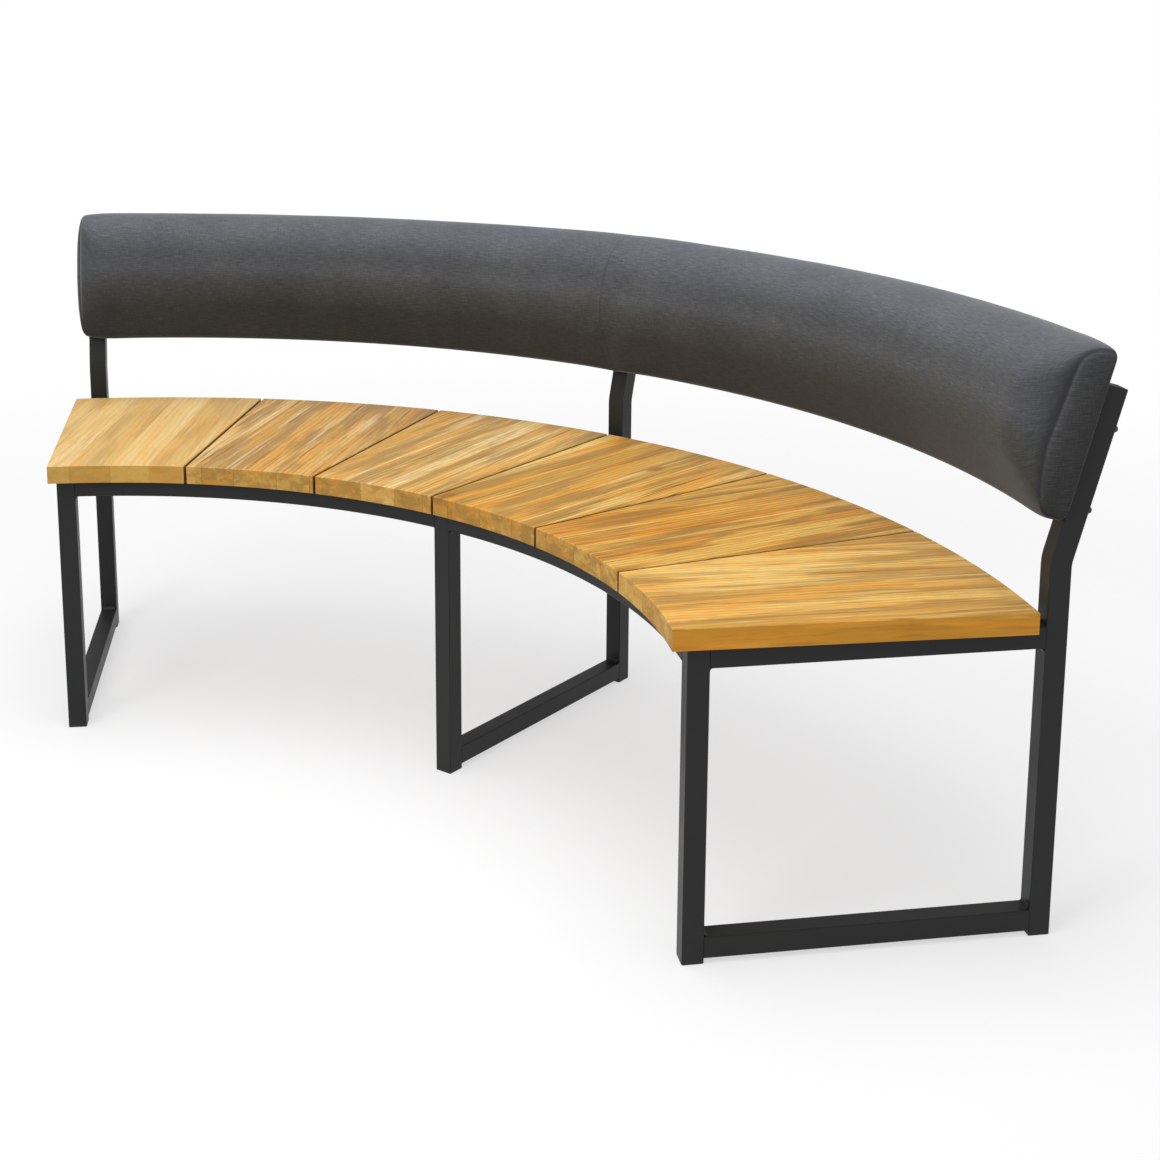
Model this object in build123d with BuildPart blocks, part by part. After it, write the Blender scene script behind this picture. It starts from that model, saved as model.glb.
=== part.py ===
from build123d import *
import os
from math import asin, cos, degrees, radians, sin, sqrt, tan

# Seat
SEAT_HEIGHT = 470.0
SEAT_FRONT_RADIUS = 860.0
SEAT_DEPTH = 480.0
SEAT_ANGLE = 91.0
PANEL_COUNT = 6
PANEL_THICKNESS = 30.0
PANEL_GAP = 5.0
PANEL_EASE = 1.2

# Square tube of the frames
TUBE = 30.0
TUBE_WALL = 2.0
TUBE_CORNER = 1.5
RAIL_EASE = 1.5
WELD_LEG = 7.0
WELD_MARGIN = 3.5

# Loop frames: one at each end of the bench and one in the middle
FRAME_SPREAD = 43.8
FRONT_LEG_INSET = 22.0
BACK_POST_GAP = 21.0
FLOOR_RAIL_CLEARANCE = 8.0
REAR_RAIL_INSET = 40.0

# Back posts: upright rear legs that lean back above the seat
LEAN = 15.0
LEAN_HEIGHT = 525.5
POST_BEND_RADIUS = 60.0
POST_UPPER_LENGTH = 240.0

# Plastic caps in the tube ends
FOOT_FLANGE = 5.0
FOOT_EASE = 1.2
FOOT_PLUG = 16.0
POST_CAP_FLANGE = 2.5
POST_CAP_EASE = 0.8
POST_CAP_PLUG = 12.0
PLUG_CLEARANCE = 0.3

# Back pads: outline of the section, up along the post and forward from the post's front face
PAD_BACK = 0.3
PAD_TOP = 294.0
PAD_FULL = {"bottom": 50.0, "nose": 26.0, "belly": 140.0, "depth": 102.0}
PAD_FULL_RADII = {"heel": 10.0, "nose": 18.0, "belly": 100.0, "crown": 88.0, "head": 12.0}
PAD_END = {"bottom": 62.0, "nose": 22.0, "belly": 108.0, "depth": 62.0}
PAD_END_RADII = {"heel": 8.0, "nose": 14.0, "belly": 60.0, "crown": 42.0, "head": 12.0}
PAD_OVERHANG = 20.0
PAD_ROUNDING = 70.0
PAD_ROUNDING_STEPS = (1.0, 0.62, 0.3, 0.08, 0.0)
PAD_SEAM_PULL = 0.07
PAD_SEAM_WIDTH = 35.0
PAD_SEAM_GAP = 0.6

# Backrest board inside the pads
BOARD_BOTTOM = 66.0
BOARD_TOP = 272.0
BOARD_BACK = 5.0
BOARD_THICKNESS = 12.0
BOARD_END_MARGIN = 4.0
BOARD_CLEARANCE = 0.5

# Fasteners have few sides
FASTENER_SIDES = 12
HEAD_TAPER = 35.0

# Bolts that hold the board to the posts
BOLT_HEIGHTS = (76.0, 187.0)
BOLT_DIAMETER = 6.0
BOLT_LENGTH = 47.0
BOLT_HEAD_DIAMETER = 12.0
BOLT_HEAD_HEIGHT = 3.3
BOLT_HOLE_DIAMETER = 6.6
NUT_BARREL_DIAMETER = 8.0
NUT_BARREL_LENGTH = 9.0
NUT_FLANGE_DIAMETER = 16.0
NUT_FLANGE_THICKNESS = 1.5
NUT_RECESS = 0.8
NUT_CLEARANCE = 0.2

# Screws that hold the panels to the curved rails
SCREW_SPREAD = 4.2
SCREW_DIAMETER = 5.0
SCREW_LENGTH = 45.0
SCREW_HEAD_DIAMETER = 10.0
SCREW_HEAD_HEIGHT = 2.6
SCREW_CLEARANCE = 0.3
PILOT_EXTRA_DEPTH = 1.5

# Derived places
PANEL_UNDERSIDE = SEAT_HEIGHT - PANEL_THICKNESS
RAIL_UNDERSIDE = PANEL_UNDERSIDE - TUBE
SEAT_REAR_RADIUS = SEAT_FRONT_RADIUS + SEAT_DEPTH
FRONT_LEG_RADIUS = SEAT_FRONT_RADIUS + FRONT_LEG_INSET
BACK_POST_RADIUS = SEAT_REAR_RADIUS + BACK_POST_GAP
REAR_RAIL_RADIUS = SEAT_REAR_RADIUS - REAR_RAIL_INSET - TUBE
TUBE_INSIDE = TUBE - 2 * TUBE_WALL
PLUG_WIDTH = TUBE_INSIDE - 2 * PLUG_CLEARANCE
WELD_WIDTH = TUBE - 2 * WELD_MARGIN
FRAMES = {"left": -FRAME_SPREAD, "middle": 0.0, "right": FRAME_SPREAD}
BAYS = {"left": (-FRAME_SPREAD, 0.0), "right": (0.0, FRAME_SPREAD)}
PANEL_ANGLE = SEAT_ANGLE / PANEL_COUNT
PAD_END_ANGLE = FRAME_SPREAD + degrees(PAD_OVERHANG / BACK_POST_RADIUS)
BOARD_END_ANGLE = PAD_END_ANGLE - degrees(BOARD_END_MARGIN / BACK_POST_RADIUS)

# The arc's centre lies in front, so that the origin is under the middle of the bench
FRONT_EXTENT = SEAT_FRONT_RADIUS * cos(radians(SEAT_ANGLE / 2))
REAR_EXTENT = (
    BACK_POST_RADIUS
    + TUBE / 2
    + (POST_UPPER_LENGTH - POST_CAP_EASE) * sin(radians(LEAN))
    + TUBE / 2 * cos(radians(LEAN))
)
CENTRE_Y = -(FRONT_EXTENT + REAR_EXTENT) / 2
ARC_AXIS = Axis((0, CENTRE_Y, 0), (0, 0, 1))


def outward(angle):
    """Unit vector away from the arc's centre; angles count from the middle frame to the right."""
    return Vector(sin(radians(angle)), cos(radians(angle)), 0)


def sideways(angle):
    """Unit vector along the arc, to the right."""
    return Vector(cos(radians(angle)), -sin(radians(angle)), 0)


def place(radius, angle, height=0.0):
    return Vector(0, CENTRE_Y, height) + outward(angle) * radius


def level_plane(radius, angle, height):
    """Horizontal plane with its x outward."""
    return Plane(origin=place(radius, angle, height), x_dir=outward(angle), z_dir=(0, 0, 1))


def side_plane(angle):
    """Upright plane of a frame: x outward, y up."""
    return Plane(origin=place(0, angle), x_dir=outward(angle), z_dir=sideways(angle))


def back_plane(angle):
    """Upright plane of a frame on the leaning front face of its post: x up along it, y forward."""
    up = outward(angle) * sin(radians(LEAN)) + Vector(0, 0, cos(radians(LEAN)))
    height = LEAN_HEIGHT + TUBE / 2 * tan(radians(LEAN / 2))
    return Plane(origin=place(BACK_POST_RADIUS, angle, height), x_dir=up, z_dir=sideways(angle))


def bolt_plane(angle, height, forward):
    """Plane square to a bolt, its z forward, at a distance forward of the post's front face."""
    post = back_plane(angle)
    return Plane(origin=post.from_local_coords((height, forward, 0)), x_dir=post.x_dir, z_dir=post.y_dir)


def bolt_places(frames, forward):
    return [Location(bolt_plane(FRAMES[frame], height, forward)) for frame in frames for height in BOLT_HEIGHTS]


def screw_places(radius, panels, height):
    angles = [(panel - (PANEL_COUNT - 1) / 2) * PANEL_ANGLE for panel in panels]
    return [place(radius, angle + side * SCREW_SPREAD, height) for angle in angles for side in (-1, 1)]


def sector(inner, outer, start, end, start_cut, end_cut):
    """Face between two arcs; its ends run parallel to the radii at start and end, cut back from them."""
    with BuildSketch() as face:
        with BuildLine():
            arcs = []
            for radius in (inner, outer):
                first = start + degrees(asin(start_cut / radius))
                last = end - degrees(asin(end_cut / radius))
                arcs.append(CenterArc((0, CENTRE_Y), radius, 90 - last, last - first))
            Line(arcs[0] @ 0, arcs[1] @ 0)
            Line(arcs[0] @ 1, arcs[1] @ 1)
        make_face()
    return face.sketch


def tube_section():
    RectangleRounded(TUBE, TUBE, TUBE_CORNER)
    Rectangle(TUBE_INSIDE, TUBE_INSIDE, mode=Mode.SUBTRACT)


def weld(corner, along, away):
    """Hollow weld bead in the corner between a rail's end and the face it meets."""
    with BuildPart() as bead:
        with BuildSketch(Plane(origin=corner, x_dir=along, z_dir=along.cross(away))):
            with BuildLine():
                hollow = CenterArc((WELD_LEG, WELD_LEG), WELD_LEG, 180, 90)
                Polyline(hollow @ 0, (0, 0), hollow @ 1)
            make_face()
        extrude(amount=WELD_WIDTH / 2, both=True)
    return bead.part


def export(node, label):
    node.part.label = label
    export_step(node.part, f"parts/{label}.step")


def seat_panel(index):
    start = -SEAT_ANGLE / 2 + index * PANEL_ANGLE
    start_cut = PANEL_GAP / 2 if index > 0 else 0.0
    end_cut = PANEL_GAP / 2 if index < PANEL_COUNT - 1 else 0.0
    with BuildPart() as panel:
        with BuildSketch(Plane.XY.offset(PANEL_UNDERSIDE)):
            add(sector(SEAT_FRONT_RADIUS, SEAT_REAR_RADIUS, start, start + PANEL_ANGLE, start_cut, end_cut))
        extrude(amount=PANEL_THICKNESS)
        chamfer(panel.faces().sort_by(Axis.Z)[-1].edges(), PANEL_EASE)
        for radius in (FRONT_LEG_RADIUS + TUBE / 2, REAR_RAIL_RADIUS + TUBE / 2):
            with BuildSketch(Plane.XY.offset(PANEL_UNDERSIDE)):
                with Locations(*[(at.X, at.Y) for at in screw_places(radius, [index], 0)]):
                    Circle(SCREW_DIAMETER / 2 + SCREW_CLEARANCE)
            extrude(amount=SCREW_LENGTH - TUBE + PILOT_EXTRA_DEPTH, mode=Mode.SUBTRACT)
    export(panel, f"seat_panel_{index + 1}")


def curved_rail(label, radius, bay, welded):
    """Length of bent tube under the panels, from one frame to the next."""
    start, end = bay
    half = PANEL_COUNT // 2
    panels = range(half) if end <= 0 else range(half, PANEL_COUNT)
    beads = []
    if welded:
        for angle, along in ((start, sideways(start)), (end, -sideways(end))):
            corner = place(radius + TUBE / 2, angle, RAIL_UNDERSIDE) + along * (TUBE / 2)
            beads.append(weld(corner, along, Vector(0, 0, -1)))
    with BuildPart() as rail:
        with BuildSketch(Plane.XY.offset(RAIL_UNDERSIDE)):
            add(sector(radius, radius + TUBE, start, end, TUBE / 2, TUBE / 2))
        extrude(amount=TUBE)
        chamfer(rail.edges().filter_by(GeomType.CIRCLE), RAIL_EASE)
        with BuildSketch(Plane.XY.offset(RAIL_UNDERSIDE + TUBE_WALL)):
            add(sector(radius + TUBE_WALL, radius + TUBE - TUBE_WALL, start, end, TUBE / 2, TUBE / 2))
        extrude(amount=TUBE_INSIDE, mode=Mode.SUBTRACT)
        add(beads)
        with BuildSketch(Plane.XY.offset(RAIL_UNDERSIDE)):
            with Locations(*[(at.X, at.Y) for at in screw_places(radius + TUBE / 2, panels, 0)]):
                Circle(SCREW_DIAMETER / 2 + SCREW_CLEARANCE)
        extrude(amount=TUBE, mode=Mode.SUBTRACT)
    export(rail, label)


def front_leg(frame):
    with BuildPart() as leg:
        with BuildSketch(level_plane(FRONT_LEG_RADIUS + TUBE / 2, FRAMES[frame], FOOT_FLANGE)):
            tube_section()
        extrude(amount=PANEL_UNDERSIDE - FOOT_FLANGE)
    export(leg, f"front_leg_{frame}")


def back_post(frame):
    angle = FRAMES[frame]
    centre = BACK_POST_RADIUS + TUBE / 2
    length = POST_UPPER_LENGTH - POST_CAP_FLANGE
    top = (centre + length * sin(radians(LEAN)), LEAN_HEIGHT + length * cos(radians(LEAN)))
    with BuildPart() as post:
        with BuildLine(side_plane(angle)) as path:
            FilletPolyline((centre, FOOT_FLANGE), (centre, LEAN_HEIGHT), top, radius=POST_BEND_RADIUS)
        with BuildSketch(level_plane(centre, angle, FOOT_FLANGE)):
            tube_section()
        sweep(path=path.line)
        with Locations(*bolt_places([frame], 0)):
            Hole(BOLT_HOLE_DIAMETER / 2, TUBE)
    export(post, f"back_post_{frame}")


def cross_rail(label, frame, underside, away):
    """Straight tube from the front leg to the back post, with a weld bead at each end."""
    angle = FRAMES[frame]
    start = FRONT_LEG_RADIUS + TUBE
    bead_height = underside if away < 0 else underside + TUBE
    beads = [
        weld(place(radius, angle, bead_height), along, Vector(0, 0, away))
        for radius, along in ((start, outward(angle)), (BACK_POST_RADIUS, -outward(angle)))
    ]
    with BuildPart() as rail:
        with BuildSketch(
            Plane(origin=place(start, angle, underside + TUBE / 2), x_dir=(0, 0, 1), z_dir=outward(angle))
        ):
            tube_section()
        extrude(amount=BACK_POST_RADIUS - start)
        add(beads)
    export(rail, label)


def foot_cap(label, radius, angle):
    with BuildPart() as cap:
        with BuildSketch(level_plane(radius + TUBE / 2, angle, 0)):
            RectangleRounded(TUBE, TUBE, TUBE_CORNER)
        extrude(amount=FOOT_FLANGE)
        chamfer(cap.faces().sort_by(Axis.Z)[0].edges(), FOOT_EASE)
        with BuildSketch(level_plane(radius + TUBE / 2, angle, FOOT_FLANGE)):
            Rectangle(PLUG_WIDTH, PLUG_WIDTH)
        extrude(amount=FOOT_PLUG)
    export(cap, label)


def post_cap(frame):
    post = back_plane(FRAMES[frame])
    apex = TUBE / 2 * tan(radians(LEAN / 2))
    seat = post.from_local_coords((POST_UPPER_LENGTH - POST_CAP_FLANGE + apex, -TUBE / 2, 0))
    top = Plane(origin=seat, x_dir=post.y_dir, z_dir=post.x_dir)
    with BuildPart() as cap:
        with BuildSketch(top):
            RectangleRounded(TUBE, TUBE, TUBE_CORNER)
        extrude(amount=POST_CAP_FLANGE)
        chamfer(cap.faces().sort_by(Axis(seat, top.z_dir))[-1].edges(), POST_CAP_EASE)
        with BuildSketch(top):
            Rectangle(PLUG_WIDTH, PLUG_WIDTH)
        extrude(amount=-POST_CAP_PLUG)
    export(cap, f"post_cap_{frame}")


def pad_section(angle, draw_in):
    """Rounded outline of a pad; draw_in runs from 0, the full section, to 1, the sewn end."""
    def blend(full, end):
        return {key: full[key] + (end[key] - full[key]) * draw_in for key in full}

    size, radii = blend(PAD_FULL, PAD_END), blend(PAD_FULL_RADII, PAD_END_RADII)
    with BuildSketch(back_plane(angle)) as section:
        with BuildLine():
            FilletPolyline(
                (size["bottom"], PAD_BACK),
                (size["bottom"], size["nose"]),
                (size["belly"], size["depth"]),
                (PAD_TOP, size["depth"]),
                (PAD_TOP, PAD_BACK),
                radius=[radii[corner] for corner in ("heel", "nose", "belly", "crown", "head")],
                close=True,
            )
        make_face()
    return section.sketch


def turn(length):
    """Angle that a length takes up along the pads' back."""
    return degrees(length / BACK_POST_RADIUS)


def board_section(angle, clearance):
    with BuildSketch(back_plane(angle)) as section:
        with Locations(((BOARD_BOTTOM + BOARD_TOP) / 2, BOARD_BACK + BOARD_THICKNESS / 2)):
            Rectangle(BOARD_TOP - BOARD_BOTTOM + 2 * clearance, BOARD_THICKNESS + 2 * clearance)
    return section.sketch


def back_pad(name, side):
    pocket_end = BOARD_END_ANGLE + turn(BOARD_CLEARANCE)
    pocket = board_section(pocket_end, BOARD_CLEARANCE)
    seam_end, rounding_start = turn(PAD_SEAM_WIDTH), PAD_END_ANGLE - turn(PAD_ROUNDING)
    seam = [pad_section(turn(PAD_SEAM_GAP / 2) * side, PAD_SEAM_PULL), pad_section(seam_end * side, 0.0)]
    rounding = [
        pad_section((PAD_END_ANGLE - turn(PAD_ROUNDING * step)) * side, 1 - sqrt(1 - (1 - step) ** 2))
        for step in PAD_ROUNDING_STEPS
    ]
    with BuildPart() as pad:
        revolve(seam[1].faces(), axis=ARC_AXIS, revolution_arc=(seam_end - rounding_start) * side)
        loft(seam, ruled=True)
        loft(rounding, ruled=True)
        revolve(pocket.faces(), axis=ARC_AXIS, revolution_arc=2 * pocket_end, mode=Mode.SUBTRACT)
        with Locations(*bolt_places(["middle", name], BOARD_BACK)):
            Hole(BOLT_HOLE_DIAMETER / 2, BOARD_BACK + TUBE)
    export(pad, f"back_pad_{name}")


def backrest_board():
    front = BOARD_BACK + BOARD_THICKNESS
    section = board_section(BOARD_END_ANGLE, 0)
    with BuildPart() as board:
        revolve(section.faces(), axis=ARC_AXIS, revolution_arc=2 * BOARD_END_ANGLE)
        with Locations(*bolt_places(FRAMES, front)):
            CounterBoreHole(
                NUT_BARREL_DIAMETER / 2 + NUT_CLEARANCE,
                NUT_FLANGE_DIAMETER / 2 + NUT_CLEARANCE,
                NUT_FLANGE_THICKNESS + NUT_RECESS,
                2 * BOARD_THICKNESS,
            )
    export(board, "backrest_board")


def headed_fastener(diameter, length, head_diameter, head_height):
    """Low-headed fastener that points up, its head under the origin."""
    with BuildPart() as fastener:
        with BuildSketch(Plane.XY.rotated((180, 0, 0))):
            RegularPolygon(head_diameter / 2, FASTENER_SIDES)
        extrude(amount=head_height, taper=HEAD_TAPER)
        with BuildSketch():
            RegularPolygon(diameter / 2, FASTENER_SIDES)
        extrude(amount=length)
    return fastener.part


def flanged_nut():
    """Nut for the board: a flange under the origin's plane and a barrel that points down."""
    with BuildPart() as nut:
        for diameter, length in (
            (NUT_FLANGE_DIAMETER, NUT_FLANGE_THICKNESS),
            (NUT_BARREL_DIAMETER, NUT_BARREL_LENGTH),
        ):
            with BuildSketch():
                RegularPolygon(diameter / 2, FASTENER_SIDES)
                RegularPolygon(BOLT_DIAMETER / 2 + NUT_CLEARANCE, FASTENER_SIDES, mode=Mode.SUBTRACT)
            extrude(amount=-length)
    return nut.part


def group(label, piece, places):
    with BuildPart() as pieces:
        with Locations(*places):
            add(piece)
    export(pieces, label)


os.makedirs("parts", exist_ok=True)

for panel_index in range(PANEL_COUNT):
    seat_panel(panel_index)

for bay_name, bay_angles in BAYS.items():
    curved_rail(f"front_rail_{bay_name}", FRONT_LEG_RADIUS, bay_angles, True)
    curved_rail(f"rear_rail_{bay_name}", REAR_RAIL_RADIUS, bay_angles, False)

for frame_name, frame_angle in FRAMES.items():
    front_leg(frame_name)
    back_post(frame_name)
    cross_rail(f"cross_rail_{frame_name}", frame_name, RAIL_UNDERSIDE, -1)
    cross_rail(f"floor_rail_{frame_name}", frame_name, FLOOR_RAIL_CLEARANCE, 1)
    foot_cap(f"front_foot_{frame_name}", FRONT_LEG_RADIUS, frame_angle)
    foot_cap(f"rear_foot_{frame_name}", BACK_POST_RADIUS, frame_angle)
    post_cap(frame_name)

back_pad("left", -1)
back_pad("right", 1)
backrest_board()

group(
    "back_bolts",
    headed_fastener(BOLT_DIAMETER, BOLT_LENGTH, BOLT_HEAD_DIAMETER, BOLT_HEAD_HEIGHT),
    bolt_places(FRAMES, -TUBE),
)
group("board_nuts", flanged_nut(), bolt_places(FRAMES, BOARD_BACK + BOARD_THICKNESS - NUT_RECESS))
group(
    "seat_screws",
    headed_fastener(SCREW_DIAMETER, SCREW_LENGTH, SCREW_HEAD_DIAMETER, SCREW_HEAD_HEIGHT),
    [
        Location(at)
        for radius in (FRONT_LEG_RADIUS + TUBE / 2, REAR_RAIL_RADIUS + TUBE / 2)
        for at in screw_places(radius, range(PANEL_COUNT), RAIL_UNDERSIDE)
    ],
)
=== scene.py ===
import math

import bmesh
import bpy
from bpy.props import FloatProperty, FloatVectorProperty, IntProperty, PointerProperty
from mathutils import Matrix, Vector


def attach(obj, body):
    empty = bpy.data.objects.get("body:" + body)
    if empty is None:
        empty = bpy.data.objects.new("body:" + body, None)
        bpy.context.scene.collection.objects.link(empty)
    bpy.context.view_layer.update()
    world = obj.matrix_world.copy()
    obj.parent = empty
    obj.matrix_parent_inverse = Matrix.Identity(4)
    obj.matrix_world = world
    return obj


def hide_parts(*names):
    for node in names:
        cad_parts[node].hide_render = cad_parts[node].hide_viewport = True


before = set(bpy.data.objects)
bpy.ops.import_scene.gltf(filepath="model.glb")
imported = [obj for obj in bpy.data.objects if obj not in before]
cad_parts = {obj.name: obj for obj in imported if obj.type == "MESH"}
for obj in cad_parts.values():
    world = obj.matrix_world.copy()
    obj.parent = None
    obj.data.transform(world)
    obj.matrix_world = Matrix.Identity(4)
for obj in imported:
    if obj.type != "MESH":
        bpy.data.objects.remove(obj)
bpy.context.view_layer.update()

bl_info = {
    "name": "Curved garden bench",
    "version": (1, 0, 0),
    "blender": (4, 5, 0),
    "location": "3D View > Sidebar > Bench",
    "description": "Dresses a curved bench of teak, powder-coated tube and padded cloth",
    "category": "Object",
}

MM = 0.001

# The bench bends about an upright axis in front of it, and its three frames stand across the bend
ARC_CENTRE = Vector((0.0, -1.0275902, 0.0))
SEAT_TOP = 0.470
PANEL_ANGLE = 91.0 / 6
FRAME_SPREAD = 43.8
TUBE = 0.030

# The back leans from this line on the posts' front faces, and reaches past the outer posts
LEAN = math.radians(15.0)
LEAN_RADIUS = 1.361
LEAN_HEIGHT = 0.5274748
PAD_OVERHANG = 0.020
PAD_END_ANGLE = math.radians(FRAME_SPREAD) + PAD_OVERHANG / LEAN_RADIUS

# Grain slant in degrees, share of golden heartwood, strength of the figure and depth of colour of
# each seat panel, from the left
PANELS = (
    (3.0, 0.9, 0.4, "#FDFBFB"),
    (-2.0, 0.6, 1.0, "#F8F1E8"),
    (1.5, 0.7, 1.0, "#FFFBEC"),
    (-1.0, 0.8, 1.15, "#FFF2C2"),
    (2.0, 0.9, 1.15, "#F4DF9E"),
    (5.0, 0.7, 0.95, "#FFEFBC"),
)

# Places in the log, across the grain, along it and through it: of the first panel, from one panel
# to the next and from one stave to the next, in metres; knots to the metre, and the log's tilt in
# degrees
FIRST_PANEL = 1.3
PANEL_STEP = (3.1, 1.7)
STAVE_STEP = (0.3, 4.0, 0.3)
KNOTS = (6.0, 3.2, 3.0)
LOG_TILT = (4.0, 0.0, 1.5)

# Width across the grain, length along it and depth of each kind of figure in millimetres, and its
# detail; teak's pores are 0.3 mm wide, too fine for the render, so they are drawn four times as
# wide
TEAK_FIELDS = {
    "bands": (26, 400, 40, 4.0),
    "mottles": (34, 260, 40, 4.0),
    "pale streaks": (13, 300, 25, 3.0),
    "dark streaks": (4, 220, 12, 2.0),
    "pores": (1.3, 22, 4, 1.0),
}

# What is laid over a stave's tone in turn: its field, its colour, the share of it that shows off
# the top face and how much of it shows where; the joints between the staves come last
TEAK_LAYERS = (
    ("bands", "#E6A644", 0.7, ((0.44, 0.0), (0.56, 1.0))),
    ("mottles", "#AB8852", 0.65, ((0.48, 0.0), (0.58, 0.8))),
    ("pale streaks", "#F5E3BA", 0.5, ((0.55, 0.0), (0.68, 0.55))),
    ("rings", "#94703C", 0.2, ((0.62, 0.0), (0.97, 0.34))),
    ("dark streaks", "#8C6735", 0.4, ((0.31, 0.9), (0.39, 0.0))),
    ("pores", "#96713E", 0.4, ((0.30, 0.4), (0.45, 0.0))),
    ("knots", "#94632F", 1.0, ((0.0, 0.75), (0.05, 0.6), (0.075, 0.2), (0.16, 0.0))),
    ("joint", "#7A5426", 1.0, ((0.0, 0.5), (0.014, 0.0))),
)

# Upward part of the normal on a panel's top face and on its sides, and on the cover where its
# painted shade is fullest and where that painted shade ends
TOP_FACE, SIDE_FACE = 0.9, 0.4
PAINTED_SHADE_FULL, PAINTED_SHADE_END = -0.5, 0.8

# Places of the bolts up each post, and radius and height of a bolt's outline above the post's rear
# face, in millimetres
BOLT_HEIGHTS = (76, 187)
BOLT_DOME = ((0, 10.6), (2.0, 10.2), (3.6, 9.2), (4.6, 7.6), (4.9, 6.0))
BOLT_HEAD = ((5.8, 5.6), (6.1, 5.2), (6.1, 1.7))
BOLT_WASHER = ((8.6, 1.7), (9.0, 1.3), (9.0, 0.1))
BOLT_SHANK = ((3.0, 0.1), (3.0, -46.0), (2.4, -47.0), (0, -47.0))
BOLT_SIDES = 24
BOLT_SHARP = math.radians(35)

# Outlines of a pad in millimetres, up along the post and forward of it, with the run of the
# rounding at each corner: in the middle of a pad and at its outer end
PAD_FULL = ((50, 0.6), (50, 26), (140, 98), (293, 98), (293, 0.6))
PAD_FULL_RUNS = (10, 8, 36, 84, 12)
PAD_END = ((60, 0.6), (60, 40), (122, 60), (287, 48), (287, 0.6))
PAD_END_RUNS = (8, 16, 40, 34, 10)

# Steps of the rounding at each corner and cuts in the side after it; middle of a pad's front in
# metres
PAD_ROUND_STEPS = (4, 4, 10, 18, 4)
PAD_EDGE_CUTS = (0, 8, 8, 1, 28)
PAD_FRONT = Vector((0.2, 0.098))

# Rings of a pad close to the middle seam and close to its end, how far from both the even rings
# start, and how far off the posts the cover is still held to the board, in millimetres
SEAM_RINGS = (0.1, 2.6, 6)
END_RINGS = (6, 2.2, 0)
RING_MARGIN = 12
HELD_DEPTH = 1

# Sizes of the rings that close a pad at the seam and at its end, as shares of its outline, and
# where the right pad's cloth is cut from, in metres along the roll
SEAM_PANEL = (0.8, 0.4)
END_PANEL = (0.965, 0.88, 0.75, 0.6, 0.45, 0.3, 0.15)
RIGHT_CUT = 0.4

# A firm cover, drawn tight over its foam
COVER = {
    "quality": 6,
    "mass": 0.3,
    "tension_stiffness": 40,
    "compression_stiffness": 40,
    "shear_stiffness": 20,
    "bending_stiffness": 4,
    "use_pressure": True,
}

# Place and width of each lamp and the point that both light, in metres
LAMPS = {"overhead": ((-0.05, -0.5, 3.3), 3.0), "key": ((0.0, -3.6, 2.5), 1.6)}
LAMP_AIM = Vector((0.0, 0.0, 0.45))

# Half the floor's width and how far its paint runs before it fades, in metres, and the width of
# the camera's sensor in millimetres
FLOOR_HALF = 30.0
FLOOR_NEAR = 0.9
SENSOR_WIDTH = 36.0


def linear(code):
    """Linear RGB of an sRGB hex value."""
    parts = [int(code[i : i + 2], 16) / 255 for i in (1, 3, 5)]
    return [c / 12.92 if c <= 0.04045 else ((c + 0.055) / 1.055) ** 2.4 for c in parts]


def add(tree, kind, inputs=None, stops=(), **settings):
    """Adds a node, sets it up, links or fills its inputs and places its colours or grey levels."""
    node = tree.nodes.new(kind)
    for key, value in settings.items():
        setattr(node, key, value)
    for key, value in (inputs or {}).items():
        if isinstance(value, bpy.types.NodeSocket):
            tree.links.new(value, node.inputs[key])
        else:
            node.inputs[key].default_value = value
    if stops:
        elements = node.color_ramp.elements
        while len(elements) < len(stops):
            elements.new(1.0)
        for element, (place, shade) in zip(elements, stops):
            element.position = place
            element.color = (*(linear(shade) if isinstance(shade, str) else [shade] * 3), 1.0)
    return node


def new_material(name):
    """An empty material and its node tree."""
    material = bpy.data.materials.new(name)
    material.use_nodes = True
    material.node_tree.nodes.clear()
    return material, material.node_tree


def dress(names, material):
    """Puts a material on CAD nodes."""
    for name in names:
        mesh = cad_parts[name].data
        mesh.materials.clear()
        mesh.materials.append(material)


def new_object(name, data):
    """An object in the scene."""
    item = bpy.data.objects.new(name, data)
    bpy.context.collection.objects.link(item)
    return item


def new_piece(name, shape, smooth=True):
    """An object of a modelled shape, which is used up."""
    if smooth:
        bmesh.ops.recalc_face_normals(shape, faces=shape.faces)
        for face in shape.faces:
            face.smooth = True
    mesh = bpy.data.meshes.new(name)
    shape.to_mesh(mesh)
    shape.free()
    return new_object(name, mesh)


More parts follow.
